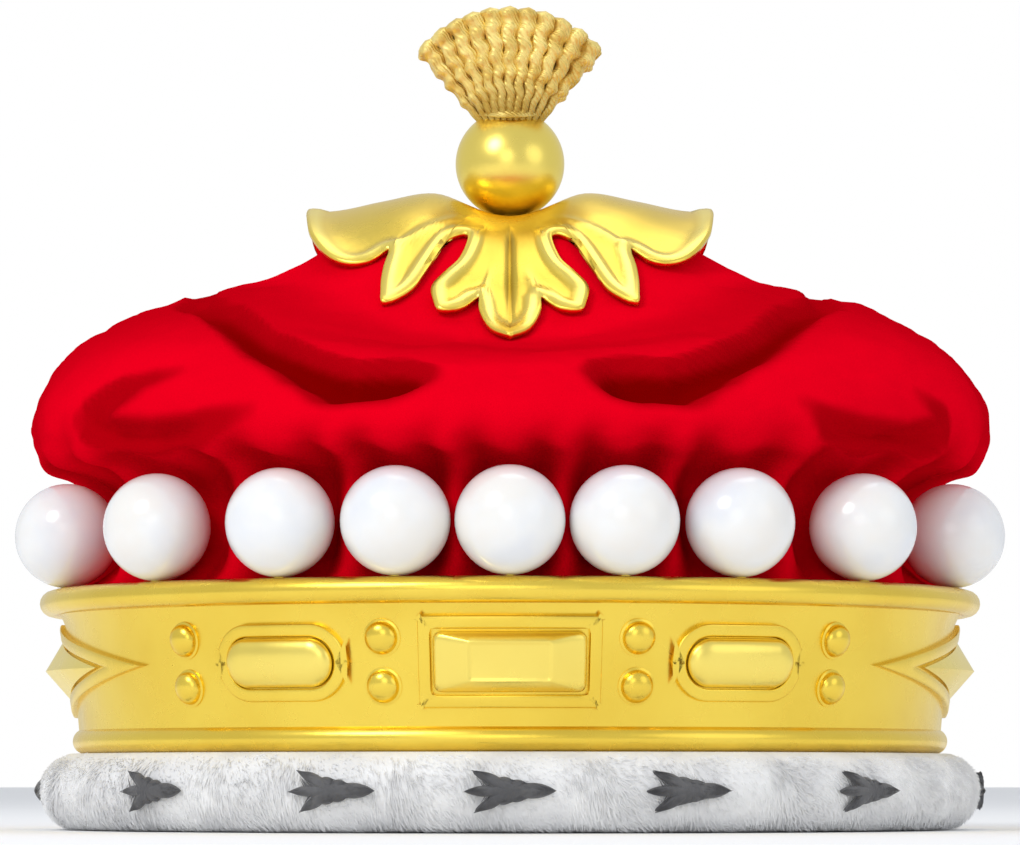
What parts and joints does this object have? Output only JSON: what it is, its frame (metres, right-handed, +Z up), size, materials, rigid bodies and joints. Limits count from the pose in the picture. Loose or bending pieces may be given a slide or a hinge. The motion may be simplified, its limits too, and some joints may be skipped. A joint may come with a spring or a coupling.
{
  "type": "coronet",
  "caption": "Gilt circlet with raised settings and pearls round a puffed velvet cap, on a fur roll, topped by a leaf mount, ball and tassel.",
  "frame": {"origin": "on the vertical axis at the surface that the fur roll stands on", "axes": "+Z up; -Y is the front with the oblong setting; +X is to the right as seen from the front"},
  "size_m": [0.2127, 0.2196, 0.1806],
  "materials": {
    "gilt": "polished gilding, darker in the hollows",
    "gilt_bright": "bright burnished gilding",
    "pearl": "white pearl lustre",
    "velvet": "crimson silk velvet, short pile",
    "ermine_white": "short white fur",
    "ermine_dark": "dark fur tufts",
    "bullion": "crimped gold thread"
  },
  "bodies": {
    "root": {"circlet": "gilt", "ermine_roll": "ermine_white", "velvet_cap": "velvet", "leaf_mount": "gilt", "finial_ball": "gilt_bright", "tassel": "bullion", "oblong_boss_1": "gilt_bright", "oblong_boss_2": "gilt_bright", "oval_boss_1": "gilt_bright", "oval_boss_2": "gilt_bright", "oval_boss_3": "gilt_bright", "oval_boss_4": "gilt_bright", "lozenge_boss_1": "gilt_bright", "lozenge_boss_2": "gilt_bright", "pearl_01": "pearl", "pearl_02": "pearl", "pearl_03": "pearl", "pearl_04": "pearl", "pearl_05": "pearl", "pearl_06": "pearl", "pearl_07": "pearl", "pearl_08": "pearl", "pearl_09": "pearl", "pearl_10": "pearl", "pearl_11": "pearl", "pearl_12": "pearl", "pearl_13": "pearl", "pearl_14": "pearl", "pearl_15": "pearl", "pearl_16": "pearl", "pearl_17": "pearl", "pearl_18": "pearl", "ermine_tail_01": "ermine_dark", "ermine_tail_02": "ermine_dark", "ermine_tail_03": "ermine_dark", "ermine_tail_04": "ermine_dark", "ermine_tail_05": "ermine_dark", "ermine_tail_06": "ermine_dark", "ermine_tail_07": "ermine_dark", "ermine_tail_08": "ermine_dark", "ermine_tail_09": "ermine_dark", "ermine_tail_10": "ermine_dark", "ermine_tail_11": "ermine_dark", "ermine_tail_12": "ermine_dark"}
  },
  "joints": []
}
